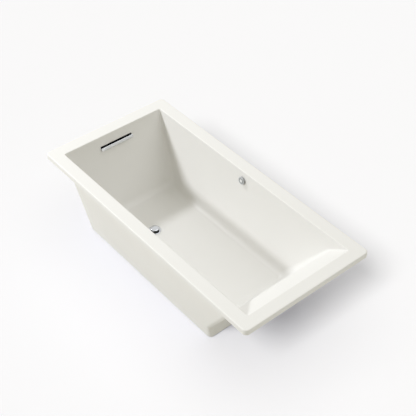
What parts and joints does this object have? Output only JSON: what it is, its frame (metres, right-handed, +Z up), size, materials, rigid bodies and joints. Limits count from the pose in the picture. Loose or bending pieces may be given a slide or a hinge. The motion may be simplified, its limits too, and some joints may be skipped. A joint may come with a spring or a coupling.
{
  "type": "drop-in bathtub",
  "caption": "Rectangular drop-in bath with a flat rim, sloping backrest, slot overflow, raised drain stopper and a push button on one long wall.",
  "frame": {"origin": "on the ground, under the middle of the rim", "axes": "+X towards the sloping backrest, -X towards the drain end, -Y the near long side, +Z up"},
  "size_m": [1.676, 0.813, 0.508],
  "materials": {
    "white_acrylic": "high gloss cast acrylic sheet",
    "backing_skin": "satin white glass-reinforced resin",
    "board": "raw particle board",
    "timber": "sawn softwood",
    "zinc_steel": "zinc-plated",
    "chrome": "polished plate",
    "rubber": "moulded rubber",
    "white_pipe": "white waste pipe",
    "black_plastic": "fine matt moulding",
    "grey_plastic": "grey satin moulding",
    "brass": "turned brass",
    "lens": "frosted light ring",
    "mat": "silicone heating mat"
  },
  "bodies": {
    "bath": {"backrest_batten": "timber", "base_board": "board", "bath_shell": "white_acrylic", "board_screws": "zinc_steel", "button_bezel": "grey_plastic", "button_gasket": "rubber", "button_nut": "black_plastic", "button_ring": "lens", "button_switch": "black_plastic", "control_box": "black_plastic", "control_box_gland": "black_plastic", "drain_blocks": "timber", "drain_end_batten": "timber", "drain_flange": "chrome", "drain_seal": "rubber", "drain_shoe": "white_pipe", "drain_shoe_gasket": "rubber", "floor_bearers": "timber", "heating_mat": "mat", "outer_jacket": "backing_skin", "overflow_body": "black_plastic", "overflow_gasket": "rubber", "overflow_nuts": "zinc_steel", "overflow_pipe": "white_pipe", "overflow_studs": "zinc_steel", "overflow_trim": "chrome", "shoe_pipe": "white_pipe", "side_battens": "timber", "slip_nuts": "white_pipe", "slip_washers": "rubber", "stopper_post": "brass", "waste_tailpiece": "white_pipe", "waste_tee": "white_pipe"},
    "stopper": {"stopper_cap": "chrome", "stopper_seal": "rubber"},
    "button": {"button_cap": "grey_plastic"}
  },
  "joints": [
    {"name": "stopper_slide", "type": "slide", "parent": "bath", "child": "stopper", "axis": [0, 0, 1], "range_m": [-0.01, 0]},
    {"name": "button_press", "type": "slide", "parent": "bath", "child": "button", "axis": [0, 0.9942, -0.108], "range_m": [0, 0.002], "stiffness_N_per_m": 600, "springref_m": -0.002}
  ]
}
